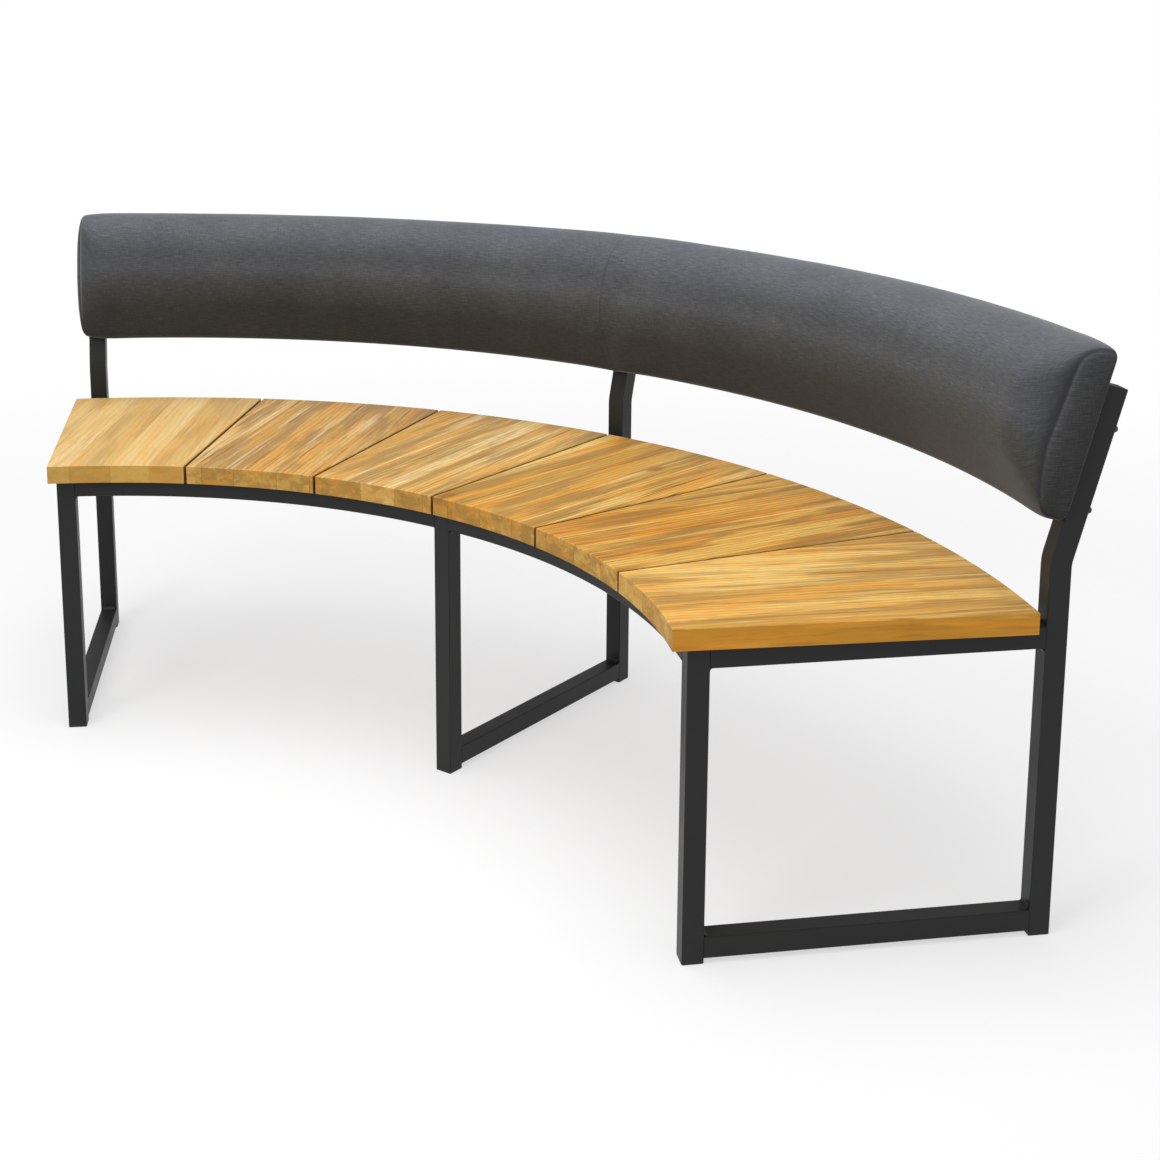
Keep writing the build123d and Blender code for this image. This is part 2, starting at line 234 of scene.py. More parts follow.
# Reclaimed teak, sawn in staves, glued and oiled: each stave has its own honey tone, soft golden
# bands, pale and dark streaks along the grain, arched growth rings and a knot here and there
def teak(number, look):
    """Teak of one seat panel, counted from the left."""
    slant, heart, figure, depth = PANELS[number]
    material, tree = new_material(f"reclaimed_teak_{number + 1}")
    turn = math.radians((number - (len(PANELS) - 1) / 2) * PANEL_ANGLE + slant)
    coords = add(tree, "ShaderNodeTexCoord")
    # x across the grain, y along it, away from the arc's centre; the figure is squeezed down from
    # the top face, so that the ends show blotches and not bars
    start = Vector(
        (
            PANEL_STEP[0] * number + FIRST_PANEL,
            PANEL_STEP[1] * number,
            SEAT_TOP * (1 - look.squeeze),
        )
    )
    panel = add(
        tree,
        "ShaderNodeMapping",
        {
            "Vector": coords.outputs["Object"],
            "Rotation": (0, 0, turn),
            "Scale": (1, 1, look.squeeze),
            "Location": start - Matrix.Rotation(turn, 3, "Z") @ ARC_CENTRE,
        },
    )
    axes = add(tree, "ShaderNodeSeparateXYZ", {"Vector": panel.outputs[0]})
    across = {"W": axes.outputs["X"], "Scale": 1 / look.stave_width, "Randomness": 0.8}
    stave = add(tree, "ShaderNodeTexVoronoi", across, voronoi_dimensions="1D")
    joint = add(
        tree,
        "ShaderNodeTexVoronoi",
        across,
        voronoi_dimensions="1D",
        feature="DISTANCE_TO_EDGE",
    )
    chance = add(tree, "ShaderNodeSeparateColor", {"Color": stave.outputs["Color"]})
    # every stave is cut from another place in the log
    log = add(
        tree,
        "ShaderNodeVectorMath",
        {0: stave.outputs["Color"], 1: STAVE_STEP, 2: panel.outputs[0]},
        operation="MULTIPLY_ADD",
    )
    fields = {"joint": joint.outputs["Distance"]}
    for field, (*size, detail) in TEAK_FIELDS.items():
        place = add(
            tree,
            "ShaderNodeMapping",
            {"Vector": log.outputs[0], "Scale": [1 / (side * MM) for side in size]},
        )
        noise = add(
            tree,
            "ShaderNodeTexNoise",
            {
                "Vector": place.outputs[0],
                "Scale": 1.0,
                "Detail": detail,
                "Roughness": 0.5,
                "Distortion": 0.3,
            },
        )
        fields[field] = noise.outputs["Fac"]
    tilted = add(
        tree,
        "ShaderNodeMapping",
        {"Vector": log.outputs[0], "Rotation": [math.radians(angle) for angle in LOG_TILT]},
    )
    rings = add(
        tree,
        "ShaderNodeTexWave",
        {
            "Vector": tilted.outputs[0],
            # this node's bands are 2 pi / 20 of a unit wide
            "Scale": 2 * math.pi / (20 * look.ring_width),
            "Distortion": 4.0,
            "Detail": 3.0,
            "Detail Scale": 0.35,
            "Detail Roughness": 0.55,
        },
        wave_type="RINGS",
        rings_direction="Y",
    )
    fields["rings"] = rings.outputs["Fac"]
    knot_place = add(tree, "ShaderNodeMapping", {"Vector": log.outputs[0], "Scale": KNOTS})
    knots = add(tree, "ShaderNodeTexVoronoi", {"Vector": knot_place.outputs[0], "Scale": 1.0})
    fields["knots"] = knots.outputs["Distance"]
    facing = add(tree, "ShaderNodeNewGeometry")
    turned = add(
        tree,
        "ShaderNodeMapping",
        {"Vector": facing.outputs["True Normal"], "Rotation": (0, 0, turn)},
        vector_type="VECTOR",
    )
    sides = add(tree, "ShaderNodeSeparateXYZ", {"Vector": turned.outputs[0]})
    off_top = add(
        tree,
        "ShaderNodeMapRange",
        {"Value": sides.outputs["Z"], "From Min": TOP_FACE, "From Max": SIDE_FACE},
    )
    stave_tone = add(
        tree,
        "ShaderNodeMapRange",
        {
            "Value": chance.outputs["Red"],
            "To Min": 0.5 - 0.5 * figure,
            "To Max": 0.5 + 0.5 * figure,
        },
    )
    tone = add(
        tree,
        "ShaderNodeValToRGB",
        {"Fac": stave_tone.outputs[0]},
        stops=((0.0, "#C49E59"), (0.3, "#D7B16A"), (0.65, "#E4C37F"), (1.0, "#EDD6A3")),
    )
    shade = tone.outputs[0]
    for field, colour, side_share, stops in TEAK_LAYERS:
        weight = figure * (heart if field == "bands" else 1.0)
        mask = add(
            tree,
            "ShaderNodeValToRGB",
            {"Fac": fields[field]},
            stops=[(place, level * weight) for place, level in stops],
        )
        if side_share < 1:
            share = add(
                tree,
                "ShaderNodeMapRange",
                {"Value": off_top.outputs[0], "To Min": 1.0, "To Max": side_share},
            )
            mask = add(
                tree,
                "ShaderNodeMath",
                {0: mask.outputs[0], 1: share.outputs[0]},
                operation="MULTIPLY",
            )
        mix = add(
            tree,
            "ShaderNodeMix",
            {"Factor": mask.outputs[0], 6: shade, 7: (*linear(colour), 1.0)},
            data_type="RGBA",
        )
        shade = mix.outputs[2]
    # colour by facing, partly painted light: the tops keep a pale tone that is a painted
    # reflection of the sky, and the sides are deeper, partly from the oil that the end grain
    # drinks; the long sides in the gaps get painted shade, and the bench's own two outer ends get
    # painted light
    across_grain = add(tree, "ShaderNodeMath", {0: sides.outputs["X"]}, operation="ABSOLUTE")
    # end grain colour on the panels' ends, painted shade on their long sides in the gaps
    side_depth_and_painted_light = add(
        tree,
        "ShaderNodeMix",
        {
            "Factor": across_grain.outputs[0],
            6: (*look.end_grain, 1.0),
            7: (*look.gap_painted_shade, 1.0),
        },
        data_type="RGBA",
    )
    # painted light: the bench's two outer end faces take a bright orange and are painted brighter
    # than their wood
    outer_end = {0: -1.0, len(PANELS) - 1: 1.0}.get(number)
    if outer_end:
        outward = add(
            tree,
            "ShaderNodeMapRange",
            {"Value": sides.outputs["X"], "From Min": 0.0, "From Max": outer_end},
        )
        side_depth_and_painted_light = add(
            tree,
            "ShaderNodeMix",
            {
                "Factor": outward.outputs[0],
                6: side_depth_and_painted_light.outputs[2],
                7: (*[look.painted_end_light * part for part in look.outer_end_tone_and_light], 1.0),
            },
            data_type="RGBA",
        )
    # painted reflection: the top faces take the panel's pale depth of colour, and the sides take
    # their deeper, partly painted colour
    face_depth_and_painted_light = add(
        tree,
        "ShaderNodeMix",
        {"Factor": off_top.outputs[0], 6: (*linear(depth), 1.0), 7: side_depth_and_painted_light.outputs[2]},
        data_type="RGBA",
    )
    wood_and_painted_light = add(
        tree,
        "ShaderNodeMix",
        {"Factor": 1.0, 6: shade, 7: face_depth_and_painted_light.outputs[2]},
        data_type="RGBA",
        blend_type="MULTIPLY",
        clamp_result=True,
    )
    rough = add(
        tree,
        "ShaderNodeMapRange",
        {
            "Value": fields["bands"],
            "From Min": 0.3,
            "From Max": 0.7,
            "To Min": 0.66,
            "To Max": 0.5,
        },
    )
    # the joints, whose mask was made last, sink deeper than the dark streaks
    height = add(
        tree,
        "ShaderNodeMath",
        {0: mask.outputs[0], 1: -1.5, 2: fields["dark streaks"]},
        operation="MULTIPLY_ADD",
    )
    bump = add(
        tree,
        "ShaderNodeBump",
        {"Height": height.outputs[0], "Strength": 0.3, "Distance": 0.5 * MM},
    )
    shader = add(
        tree,
        "ShaderNodeBsdfPrincipled",
        {
            "Base Color": wood_and_painted_light.outputs[2],
            "Roughness": rough.outputs[0],
            "Normal": bump.outputs[0],
            "IOR": 1.45,
        },
    )
    add(tree, "ShaderNodeOutputMaterial", {"Surface": shader.outputs[0]})
    return material


# Polyester powder coat, baked on: satin and nearly black, with a faint orange peel
def powder_coat(look):
    """Coat of the tubes."""
    material, tree = new_material("powder_coated_aluminium")
    coords = add(tree, "ShaderNodeTexCoord")
    peel = add(
        tree,
        "ShaderNodeTexNoise",
        {
            "Vector": coords.outputs["Object"],
            "Scale": 1 / (2.5 * MM),
            "Detail": 2.0,
            "Roughness": 0.5,
        },
    )
    dust = add(
        tree,
        "ShaderNodeTexNoise",
        {
            "Vector": coords.outputs["Object"],
            "Scale": 1 / (90 * MM),
            "Detail": 4.0,
            "Roughness": 0.6,
        },
    )
    shade = add(
        tree,
        "ShaderNodeValToRGB",
        {"Fac": dust.outputs["Fac"]},
        stops=((0.3, "#1F2120"), (0.7, "#262827")),
    )
    rough = add(
        tree,
        "ShaderNodeMapRange",
        {
            "Value": dust.outputs["Fac"],
            "From Min": 0.3,
            "From Max": 0.7,
            "To Min": 0.40,
            "To Max": 0.50,
        },
    )
    bump = add(
        tree,
        "ShaderNodeBump",
        {"Height": peel.outputs["Fac"], "Strength": look.peel, "Distance": 0.2 * MM},
    )
    shader = add(
        tree,
        "ShaderNodeBsdfPrincipled",
        {
            "Base Color": shade.outputs[0],
            "Roughness": rough.outputs[0],
            "Normal": bump.outputs[0],
            "IOR": 1.5,
            "Specular IOR Level": 0.3,
        },
    )
    add(tree, "ShaderNodeOutputMaterial", {"Surface": shader.outputs[0]})
    return material


# Moulded polyethylene caps: dull black with a fine spark-eroded grain
def black_polyethylene():
    """Plastic of the feet and the post caps."""
    material, tree = new_material("moulded_black_polyethylene")
    coords = add(tree, "ShaderNodeTexCoord")
    grain = add(
        tree,
        "ShaderNodeTexNoise",
        {"Vector": coords.outputs["Object"], "Scale": 1 / (1.2 * MM), "Detail": 2.0},
    )
    shade = add(
        tree,
        "ShaderNodeValToRGB",
        {"Fac": grain.outputs["Fac"]},
        stops=((0.3, "#161616"), (0.7, "#1F1F1F")),
    )
    bump = add(
        tree,
        "ShaderNodeBump",
        {"Height": grain.outputs["Fac"], "Strength": 0.2, "Distance": 0.1 * MM},
    )
    shader = add(
        tree,
        "ShaderNodeBsdfPrincipled",
        {
            "Base Color": shade.outputs[0],
            "Roughness": 0.55,
            "Normal": bump.outputs[0],
            "IOR": 1.5,
        },
    )
    add(tree, "ShaderNodeOutputMaterial", {"Surface": shader.outputs[0]})
    return material


# Blackened stainless steel: a dark grey metal that still glints
def blackened_steel():
    """Steel of the bolts, nuts and screws."""
    material, tree = new_material("blackened_stainless_steel")
    coords = add(tree, "ShaderNodeTexCoord")
    wear = add(
        tree,
        "ShaderNodeTexNoise",
        {"Vector": coords.outputs["Object"], "Scale": 1 / (3 * MM), "Detail": 3.0},
    )
    shade = add(
        tree,
        "ShaderNodeValToRGB",
        {"Fac": wear.outputs["Fac"]},
        stops=((0.3, "#3A3A3B"), (0.7, "#4C4C4D")),
    )
    shader = add(
        tree,
        "ShaderNodeBsdfPrincipled",
        {"Base Color": shade.outputs[0], "Roughness": 0.38, "Metallic": 0.9},
    )
    add(tree, "ShaderNodeOutputMaterial", {"Surface": shader.outputs[0]})
    return material


# Birch plywood: pale rotary-cut veneer with soft long figure
def birch_plywood():
    """Wood of the board in the back."""
    material, tree = new_material("birch_plywood")
    coords = add(tree, "ShaderNodeTexCoord")
    sheet = add(
        tree,
        "ShaderNodeMapping",
        {"Vector": coords.outputs["Object"], "Scale": (0.1, 0.1, 1.0)},
    )
    figure = add(
        tree,
        "ShaderNodeTexNoise",
        {"Vector": sheet.outputs[0], "Scale": 1 / (12 * MM), "Detail": 4.0, "Distortion": 1.0},
    )
    shade = add(
        tree,
        "ShaderNodeValToRGB",
        {"Fac": figure.outputs["Fac"]},
        stops=((0.3, "#C9A77A"), (0.7, "#DDC39B")),
    )
    shader = add(
        tree,
        "ShaderNodeBsdfPrincipled",
        {"Base Color": shade.outputs[0], "Roughness": 0.6},
    )
    add(tree, "ShaderNodeOutputMaterial", {"Surface": shader.outputs[0]})
    return material


# Woven outdoor acrylic, spun from mixed grey yarns: a soft heather with slubs along the bench
def melange_cloth(look):
    """Cover of the pads."""
    material, tree = new_material("melange_acrylic_weave")
    thread = add(tree, "ShaderNodeUVMap", uv_map="weave")
    # 0.7 mm threads would not show in the render, so the slubs stand for them at about twice that
    # width
    slub_place = add(
        tree,
        "ShaderNodeMapping",
        {"Vector": thread.outputs[0], "Scale": (1 / (20 * MM), 1 / (1.5 * MM), 1.0)},
    )
    slub = add(
        tree,
        "ShaderNodeTexNoise",
        {"Vector": slub_place.outputs[0], "Scale": 1.0, "Detail": 3.0, "Roughness": 0.65},
    )
    warp_place = add(
        tree,
        "ShaderNodeMapping",
        {"Vector": thread.outputs[0], "Scale": (1 / (2.4 * MM), 1 / (11 * MM), 1.0)},
    )
    warp = add(
        tree,
        "ShaderNodeTexNoise",
        {"Vector": warp_place.outputs[0], "Scale": 1.0, "Detail": 2.0, "Roughness": 0.5},
    )
    patch = add(
        tree,
        "ShaderNodeTexNoise",
        {
            "Vector": thread.outputs[0],
            "Scale": 1 / (140 * MM),
            "Detail": 3.0,
            "Roughness": 0.6,
        },
    )
    mix = add(
        tree,
        "ShaderNodeMath",
        {0: warp.outputs["Fac"], 1: 0.35, 2: slub.outputs["Fac"]},
        operation="MULTIPLY_ADD",
    )
    yarn = add(
        tree,
        "ShaderNodeValToRGB",
        {"Fac": mix.outputs[0]},
        stops=((0.45, "#484A4D"), (0.62, "#55585C"), (0.74, "#5E6167"), (0.92, "#71747D")),
    )
    tint = add(
        tree,
        "ShaderNodeValToRGB",
        {"Fac": patch.outputs["Fac"]},
        stops=((0.3, "#E4E4EA"), (0.7, "#FFFFFF")),
    )
    heather = add(
        tree,
        "ShaderNodeMix",
        {"Factor": 1.0, 6: yarn.outputs[0], 7: tint.outputs[0]},
        data_type="RGBA",
        blend_type="MULTIPLY",
    )
    # painted shade: the cover darkens, and turns a little olive, the further its normal turns down
    # from the top
    facing = add(tree, "ShaderNodeNewGeometry")
    upright = add(tree, "ShaderNodeSeparateXYZ", {"Vector": facing.outputs["Normal"]})
    painted_light_share = add(
        tree,
        "ShaderNodeMapRange",
        {"Value": upright.outputs["Z"], "From Min": PAINTED_SHADE_FULL, "From Max": PAINTED_SHADE_END},
    )
    painted_shade_ramp = add(
        tree,
        "ShaderNodeValToRGB",
        {"Fac": painted_light_share.outputs[0]},
        stops=((0.0, "#A6AAA2"), (0.38, "#CDC9BA"), (0.58, "#DEDCD6"), (1.0, "#FFFFFF")),
    )
    painted_shade_cloth = add(
        tree,
        "ShaderNodeMix",
        {"Factor": 1.0, 6: heather.outputs[2], 7: painted_shade_ramp.outputs[0]},
        data_type="RGBA",
        blend_type="MULTIPLY",
    )
    # painted shade: along the seams the cover is darkened towards the seam colour, where their
    # folds lie in shade
    seam = add(tree, "ShaderNodeAttribute", attribute_name="seam")
    fold = add(
        tree,
        "ShaderNodeMix",
        {"Factor": seam.outputs["Fac"], 6: painted_shade_cloth.outputs[2], 7: (*look.seam, 1.0)},
        data_type="RGBA",
    )
    bump = add(
        tree,
        "ShaderNodeBump",
        {"Height": mix.outputs[0], "Strength": 0.35, "Distance": 0.4 * MM},
    )
    shader = add(
        tree,
        "ShaderNodeBsdfPrincipled",
        {
            "Base Color": fold.outputs[2],
            "Roughness": 0.92,
            "Normal": bump.outputs[0],
            "IOR": 1.45,
            "Sheen Weight": 0.35,
            "Sheen Roughness": 0.35,
        },
    )
    add(tree, "ShaderNodeOutputMaterial", {"Surface": shader.outputs[0]})
    return material


def on_back(angle, up, forward):
    """Point of the leaning back, up along the post and forward of its front face, in metres."""
    radius = LEAN_RADIUS + up * math.sin(LEAN) - forward * math.cos(LEAN)
    height = LEAN_HEIGHT + up * math.cos(LEAN) + forward * math.sin(LEAN)
    return ARC_CENTRE + Vector((radius * math.sin(angle), radius * math.cos(angle), height))


def turned_bolt(bolts, angle, up):
    """One bolt of revolution, its washer on the rear face of a post."""
    profile = [
        bolts.verts.new((radius * MM, 0, height * MM))
        for radius, height in BOLT_DOME + BOLT_HEAD + BOLT_WASHER + BOLT_SHANK
    ]
    edges = [bolts.edges.new(pair) for pair in zip(profile, profile[1:])]
    bmesh.ops.spin(
        bolts,
        geom=profile + edges,
        cent=(0, 0, 0),
        axis=(0, 0, 1),
        angle=2 * math.pi,
        steps=BOLT_SIDES,
        use_merge=True,
    )
    # bolts that are in their place already have a tag
    verts = [vert for vert in bolts.verts if not vert.tag]
    bmesh.ops.remove_doubles(bolts, verts=verts, dist=0.01 * MM)
    verts = [vert for vert in bolts.verts if not vert.tag]
    outward = Vector((math.sin(angle), math.cos(angle), 0))
    above = Vector((0, 0, 1))
    rearward = outward * math.cos(LEAN) - above * math.sin(LEAN)
    upward = outward * math.sin(LEAN) + above * math.cos(LEAN)
    turn = Matrix((upward, rearward.cross(upward), rearward)).transposed().to_4x4()
    seat = on_back(angle, up, -TUBE)
    bmesh.ops.transform(bolts, matrix=Matrix.Translation(seat) @ turn, verts=verts)
    for vert in verts:
        vert.tag = True


def outline(corners, runs):
    """Rounded outline of a pad as points in order from the heel, in metres."""
    shape = bmesh.new()
    points = [shape.verts.new((up * MM, forward * MM, 0)) for up, forward in corners]
    shape.faces.new(points)
    for point, run, steps in zip(points, runs, PAD_ROUND_STEPS):
        bmesh.ops.bevel(
            shape,
            geom=[point],
            offset=run * MM,
            offset_type="ABSOLUTE",
            affect="VERTICES",
            segments=steps,
            profile=0.5,
            material=-1,
        )
    shape.faces.ensure_lookup_table()
    loop = [corner.vert.co.xy.copy() for corner in shape.faces[0].loops]
    shape.free()
    back = min(point.y for point in loop) + 0.001 * MM
    first = min((i for i, p in enumerate(loop) if p.y < back), key=lambda i: loop[i].x)
    loop = loop[first:] + loop[:first]
    if loop[1].y < back:
        loop = [loop[0]] + loop[:0:-1]
    return divided(loop)


def divided(loop):
    """The outline with its straight sides divided for the cloth."""
    result = []
    corner = 0
    for i, point in enumerate(loop):
        result.append(point)
        end_of_round = sum(PAD_ROUND_STEPS[: corner + 1]) + corner
        if i == end_of_round:
            following = loop[(i + 1) % len(loop)]
            cuts = PAD_EDGE_CUTS[corner]
            result += [point.lerp(following, (cut + 1) / (cuts + 1)) for cut in range(cuts)]
            corner += 1
    return result


def stations(look):
    """Turn and draw-in of each ring of a pad, from the middle seam to the end."""
    length = PAD_END_ANGLE * LEAN_RADIUS
    even = length - 2 * RING_MARGIN * MM
    count = round(even / look.ring_spacing)
    places = [place * MM for place in SEAM_RINGS]
    places += [RING_MARGIN * MM + even * i / count for i in range(count + 1)]
    places += [length - place * MM for place in END_RINGS]
    rings = []
    for place in places:
        from_end = min(1.0, (length - place) / look.rounding)
        draw_in = 1 - math.sqrt(1 - (1 - from_end) ** 2)
        draw_in += look.seam_pull * max(0.0, 1 - place / look.seam_width) ** 2
        rings.append((place / LEAN_RADIUS, draw_in))
    return rings


def girth(profile, front):
    """Distance of each point round a pad, and of the first again, from the middle of its front."""
    run = [0.0]
    for i, point in enumerate(profile):
        run.append(run[-1] + (profile[(i + 1) % len(profile)] - point).length)
    return [distance - run[front] for distance in run]


def nearest(profile, point):
    """Number of the point of an outline that lies nearest."""
    return min(range(len(profile)), key=lambda i: (profile[i] - point).length_squared)


def close_rim(skin, rim, scales, outward, bulge):
    """Closes an open rim of a pad with ever smaller rings that swell outwards."""
    middle = sum((vert.co for edge in rim for vert in edge.verts), Vector()) / (2 * len(rim))
    faces, size, rise = [], 1.0, 0.0
    for scale in scales:
        made = bmesh.ops.extrude_edge_only(skin, edges=rim)["geom"]
        edges = [item for item in made if isinstance(item, bmesh.types.BMEdge)]
        rim = [edge for edge in edges if len(edge.link_faces) == 1]
        faces += [item for item in made if isinstance(item, bmesh.types.BMFace)]
        inner = list({vert for edge in rim for vert in edge.verts})
        raised = bulge * math.sqrt(1 - scale**2)
        about = Matrix.Translation(-middle)
        bmesh.ops.scale(skin, vec=(scale / size,) * 3, space=about, verts=inner)
        bmesh.ops.translate(skin, vec=outward * (raised - rise * scale / size), verts=inner)
        size, rise = scale, raised
    faces += bmesh.ops.contextual_create(skin, geom=rim)["faces"]
    faces += bmesh.ops.poke(skin, faces=faces[-1:])["faces"]
    return [face for face in faces if face.is_valid]


def build_pad(name, side, look):
    """Closed, ringed skin of one back pad, with its weave map and its seams marked."""
    full, end = outline(PAD_FULL, PAD_FULL_RUNS), outline(PAD_END, PAD_END_RUNS)
    rings = stations(look)
    last = len(rings) - 1
    skin = bmesh.new()
    weave = skin.loops.layers.uv.new("weave")
    seam = skin.verts.layers.float.new("seam")
    held = skin.verts.layers.float.new("held")
    crease = skin.edges.layers.float.new("crease_edge")
    start = [skin.verts.new(on_back(0.0, p.x, p.y)) for p in full]
    edges = [skin.edges.new((start[i], start[(i + 1) % len(start)])) for i in range(len(start))]
    bmesh.ops.spin(
        skin,
        geom=edges,
        cent=ARC_CENTRE,
        axis=(0, 0, 1),
        angle=-side * PAD_END_ANGLE,
        steps=last,
        use_merge=False,
    )
    # ring and place in the outline of every point of the spun skin
    step = PAD_END_ANGLE / last
    table = {}
    for vert in skin.verts:
        flat = vert.co - ARC_CENTRE
        ring = round(abs(math.atan2(flat.x, flat.y)) / step)
        radius = math.hypot(flat.x, flat.y) - LEAN_RADIUS
        height = flat.z - LEAN_HEIGHT
        up = radius * math.sin(LEAN) + height * math.cos(LEAN)
        forward = height * math.sin(LEAN) - radius * math.cos(LEAN)
        table[vert] = ring, nearest(full, Vector((up, forward)))
    profiles = [[f.lerp(e, draw_in) for f, e in zip(full, end)] for _, draw_in in rings]
    for vert, (ring, place) in table.items():
        point = profiles[ring][place]
        vert.co = on_back(side * rings[ring][0], point.x, point.y)
        vert[seam] = {0: look.middle_seam, last: look.end_seam}.get(ring, 0.0)
        vert[held] = 1.0 if point.y < HELD_DEPTH * MM or ring == 0 else 0.0
    front = nearest(full, PAD_FRONT)
    around = [girth(profile, front) for profile in profiles]
    for face in skin.faces:
        places = [table[corner.vert][1] for corner in face.loops]
        wraps = max(places) - min(places) > len(full) / 2
        for corner in face.loops:
            ring, place = table[corner.vert]
            turn = around[ring][-1 if wraps and place == 0 else place]
            along = rings[ring][0] * LEAN_RADIUS + RIGHT_CUT * (side > 0)
            corner[weave].uv = (along, turn)
    # the middle seam stays flat and crisp, and the end panel swells
    outward = Vector((side * math.cos(PAD_END_ANGLE), -math.sin(PAD_END_ANGLE), 0))
    for ring, scales, bulge in ((0, SEAM_PANEL, 0.0), (last, END_PANEL, look.end_bulge)):
        rim = [
            edge
            for edge in skin.edges
            if len(edge.link_faces) == 1
            and all(table.get(vert, (None,))[0] == ring for vert in edge.verts)
        ]
        for edge in rim:
            edge[crease] = 1.0 if ring == 0 else 0.0
        panel = close_rim(skin, rim, scales, outward, bulge)
        for face in panel:
            for corner in face.loops:
                co = corner.vert.co
                corner[weave].uv = (math.hypot(co.x, co.y - ARC_CENTRE.y), co.z)
        for vert in {vert for face in panel for vert in face.verts} - table.keys():
            vert[seam], vert[held] = 0.0, 1.0 if ring == 0 else 0.0
    return new_piece(name, skin)


def values(mesh, name):
    """Values of a mesh's attribute."""
    return [item.value for item in mesh.attributes[name].data]


def stuff_pad(pad, look):
    """Swells the skin over its foam with a short cloth simulation and keeps the result."""
    mesh = pad.data
    before = [vert.co.copy() for vert in mesh.vertices]
    held = pad.vertex_groups.new(name="held")
    fixed = [i for i, value in enumerate(values(mesh, "held")) if value > 0.5]
    held.add(fixed, 1.0, "REPLACE")
    cloth = pad.modifiers.new("stuffing", "CLOTH")
    for key, value in COVER.items():
        setattr(cloth.settings, key, value)
    cloth.settings.uniform_pressure_force = look.pressure
    cloth.settings.effector_weights.gravity = 0.0
    cloth.settings.vertex_group_mass = held.name
    scene = bpy.context.scene
    cloth.point_cache.frame_start, cloth.point_cache.frame_end = 1, look.frames
    for number in range(1, look.frames + 1):
        scene.frame_set(number)
    swollen = pad.evaluated_get(bpy.context.evaluated_depsgraph_get()).data
    after = [vert.co.copy() for vert in swollen.vertices]
    pad.modifiers.remove(cloth)
    pad.vertex_groups.remove(held)
    scene.frame_set(1)
    # the moves are evened out, so that the cover stays as taut as it is on its foam
    moves = bmesh.new()
    moves.from_mesh(mesh)
    for vert, old, new in zip(moves.verts, before, after):
        move = new - old
        vert.co = move * min(1.0, look.swell / max(move.length, 1e-9))
    for _ in range(look.evening):
        bmesh.ops.smooth_vert(
            moves,
            verts=moves.verts,
            factor=0.5,
            use_axis_x=True,
            use_axis_y=True,
            use_axis_z=True,
        )
    for vert, old, move, hold in zip(mesh.vertices, before, moves.verts, values(mesh, "held")):
        vert.co = old + move.co * (1 - hold)
    moves.free()


def sew_pad(pad, look):
    """Sinks the seams into the skin and smooths it once."""
    skin = bmesh.new()
    skin.from_mesh(pad.data)
    seam = skin.verts.layers.float["seam"]
    skin.normal_update()
    sunk = [(vert, vert.normal.copy()) for vert in skin.verts if vert[seam] > 0]
    for vert, normal in sunk:
        vert.co -= normal * look.seam_depth * vert[seam]
    skin.to_mesh(pad.data)
    skin.free()
    smooth = pad.modifiers.new("smooth", "SUBSURF")
    smooth.levels = smooth.render_levels = 1


class BENCH_PG_teak(bpy.types.PropertyGroup):
    stave_width: FloatProperty(
        name="Stave width",
        description="Mean width of a stave",
        default=0.066,
        unit="LENGTH",
    )
    ring_width: FloatProperty(
        name="Ring width",
        description="Width of a growth ring",
        default=0.009,
        unit="LENGTH",
    )
    # deeper colour of the panels' ends: partly the oil in the end grain, partly painted light set
    # against the tops' painted reflection
    end_grain: FloatVectorProperty(
        name="End grain",
        description="Depth of colour where the grain ends",
        default=linear("#FCECBA"),
        subtype="COLOR",
    )
    # painted light on the bench's two outer end faces
    outer_end_tone_and_light: FloatVectorProperty(
        name="Long edge",
        description="Depth of colour along the grain, at the bench's two ends",
        default=linear("#FFDC7E"),
        subtype="COLOR",
    )
    # painted light: how much brighter than their wood those end faces are painted
    painted_end_light: FloatProperty(
        name="Edge glow",
        description="How many times brighter those long edges are than their depth of colour",
        default=1.4,
    )
    # painted shade on the panels' long sides in the gaps between them
    gap_painted_shade: FloatVectorProperty(
        name="Gap side",
        description="Depth of colour in the gaps between the panels",
        default=linear("#B5A490"),
        subtype="COLOR",
    )
    squeeze: FloatProperty(
        name="Squeeze",
        description="How many times faster the figure changes downwards",
        default=2.6,
    )


class BENCH_PG_coat(bpy.types.PropertyGroup):
    peel: FloatProperty(
        name="Orange peel",
        description="Strength of the powder coat's texture",
        default=0.12,
        subtype="FACTOR",
    )


